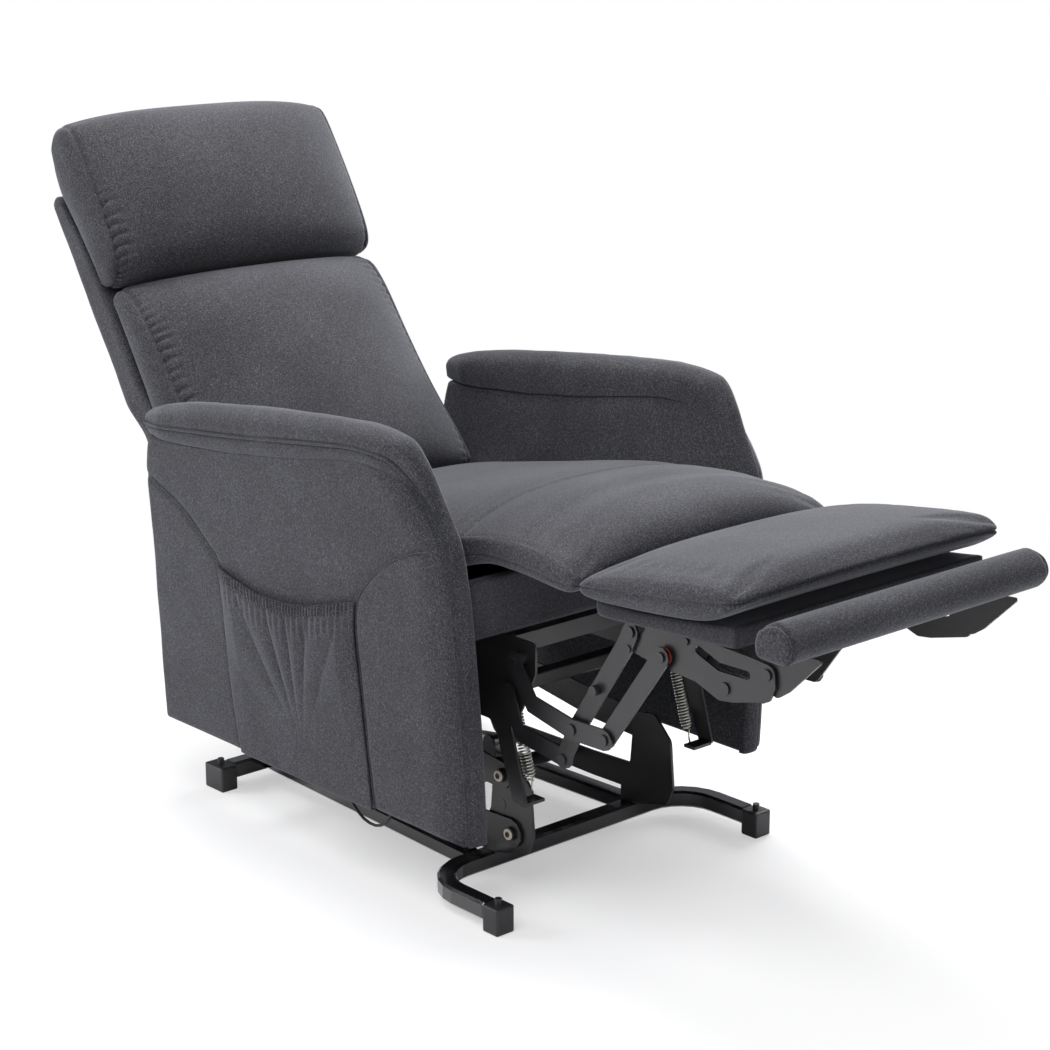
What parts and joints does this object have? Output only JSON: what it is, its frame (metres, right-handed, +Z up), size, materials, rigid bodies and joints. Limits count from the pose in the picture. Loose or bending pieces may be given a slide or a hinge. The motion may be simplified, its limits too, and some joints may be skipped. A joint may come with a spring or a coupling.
{
  "type": "lift recliner chair",
  "caption": "Upholstered power lift recliner with a floor base, lift linkage, reclining back and a fold-out footrest with a small front bolster.",
  "frame": {"origin": "on the floor, under the middle of the chair's length and width with the footrest out and the back reclined", "axes": "+Z up, the sitter faces -Y, +X is the sitter's left"},
  "size_m": [0.7328, 1.8034, 1.1655],
  "materials": {
    "fabric": "charcoal heather weave",
    "tube": "gloss black powder coat",
    "steel": "satin black",
    "spring": "zinc plated",
    "plastic": "satin black",
    "lining": "black lining cloth"
  },
  "bodies": {
    "base": {"base_front_tube": "tube", "base_rear_tube": "tube", "base_side_tube_left": "tube", "base_side_tube_right": "tube", "riser_plate_left": "steel", "riser_plate_right": "steel", "foot_cap_front_left": "plastic", "foot_cap_front_right": "plastic", "foot_cap_rear_left": "plastic", "foot_cap_rear_right": "plastic", "actuator_mount": "steel"},
    "lift_lower": {"lift_lower_link_left": "steel", "lift_lower_link_right": "steel", "lift_cross_tube": "steel"},
    "lift_upper": {"lift_upper_link_left": "steel", "lift_upper_link_right": "steel"},
    "chair": {"mech_plate_left": "steel", "mech_plate_right": "steel", "lift_bracket_left": "steel", "lift_bracket_right": "steel", "cross_rail_front": "steel", "cross_rail_rear": "steel", "front_rail": "steel", "front_apron": "fabric", "seat_deck": "lining", "seat_cushion": "fabric", "spring_left": "spring", "spring_right": "spring", "power_box": "plastic", "power_lead": "plastic", "side_panel_left": "fabric", "side_panel_right": "fabric", "arm_pad_left": "fabric", "arm_pad_right": "fabric", "pocket_left": "fabric", "pocket_right": "fabric"},
    "back": {"back_shell": "fabric", "back_cushion": "fabric", "headrest_cushion": "fabric", "back_bracket_left": "steel", "back_bracket_right": "steel", "dust_cover": "lining"},
    "long_links": {"long_link_left": "steel", "long_link_right": "steel"},
    "short_links": {"short_link_left": "steel", "short_link_right": "steel"},
    "rear_risers": {"rear_riser_link_left": "steel", "rear_riser_link_right": "steel"},
    "front_risers": {"front_riser_link_left": "steel", "front_riser_link_right": "steel"},
    "ottoman": {"ottoman_plate_left": "steel", "ottoman_plate_right": "steel", "ottoman_board": "fabric", "ottoman_pad": "fabric"},
    "flipper": {"flipper_bracket_left": "steel", "flipper_bracket_right": "steel", "footrest_bolster": "fabric"},
    "actuator": {"actuator_body": "plastic"},
    "actuator_ram": {"actuator_rod": "spring"}
  },
  "joints": [
    {"name": "lift", "type": "hinge", "parent": "base", "child": "lift_lower", "pos_m": [0, -0.2044, 0.093], "axis": [1, 0, 0], "range_deg": [0, 45]},
    {"name": "lift_upper_swing", "type": "hinge", "parent": "base", "child": "lift_upper", "pos_m": [0, -0.181, 0.186], "axis": [1, 0, 0], "range_deg": [0, 51]},
    {"name": "chair_tilt", "type": "hinge", "parent": "lift_lower", "child": "chair", "pos_m": [0, 0.19, 0.088], "axis": [1, 0, 0], "range_deg": [-24, 0]},
    {"name": "actuator_swing", "type": "hinge", "parent": "base", "child": "actuator", "pos_m": [0, 0.43, 0.092], "axis": [1, 0, 0], "range_deg": [-14, 0]},
    {"name": "actuator_stroke", "type": "slide", "parent": "actuator", "child": "actuator_ram", "axis": [0, -0.9889, 0.1483], "range_m": [0, 0.145]},
    {"name": "back_recline", "type": "hinge", "parent": "chair", "child": "back", "pos_m": [0, 0.43, 0.47], "axis": [1, 0, 0], "range_deg": [-12, 20]},
    {"name": "footrest", "type": "hinge", "parent": "chair", "child": "long_links", "pos_m": [0, -0.2878, 0.42], "axis": [1, 0, 0], "range_deg": [0, 78.1]},
    {"name": "footrest_short_link", "type": "hinge", "parent": "chair", "child": "short_links", "pos_m": [0, -0.2585, 0.36], "axis": [1, 0, 0], "range_deg": [0, 81]},
    {"name": "footrest_rear_riser", "type": "hinge", "parent": "long_links", "child": "rear_risers", "pos_m": [0, -0.42, 0.345], "axis": [1, 0, 0], "range_deg": [-75, 0]},
    {"name": "footrest_front_riser", "type": "hinge", "parent": "long_links", "child": "front_risers", "pos_m": [0, -0.489, 0.347], "axis": [1, 0, 0], "range_deg": [-87, 0]},
    {"name": "ottoman_turn", "type": "hinge", "parent": "front_risers", "child": "ottoman", "pos_m": [0, -0.5997, 0.502], "axis": [1, 0, 0], "range_deg": [0, 98]},
    {"name": "flipper_turn", "type": "hinge", "parent": "ottoman", "child": "flipper", "pos_m": [0, -0.795, 0.5227], "axis": [1, 0, 0], "range_deg": [0, 26]}
  ],
  "couplings": [
    {"joint": "lift_upper_swing", "follows": "lift", "ratio": 1.1129},
    {"joint": "chair_tilt", "follows": "lift", "ratio": -0.5158},
    {"joint": "actuator_swing", "follows": "lift", "ratio": -0.29},
    {"joint": "actuator_stroke", "follows": "lift", "m_per_rad": 0.1749},
    {"joint": "footrest_short_link", "follows": "footrest", "ratio": 1.032},
    {"joint": "footrest_rear_riser", "follows": "footrest", "ratio": -0.9526},
    {"joint": "footrest_front_riser", "follows": "footrest", "ratio": -1.1037},
    {"joint": "ottoman_turn", "follows": "footrest", "ratio": 1.2433},
    {"joint": "flipper_turn", "follows": "footrest", "ratio": 0.32}
  ]
}
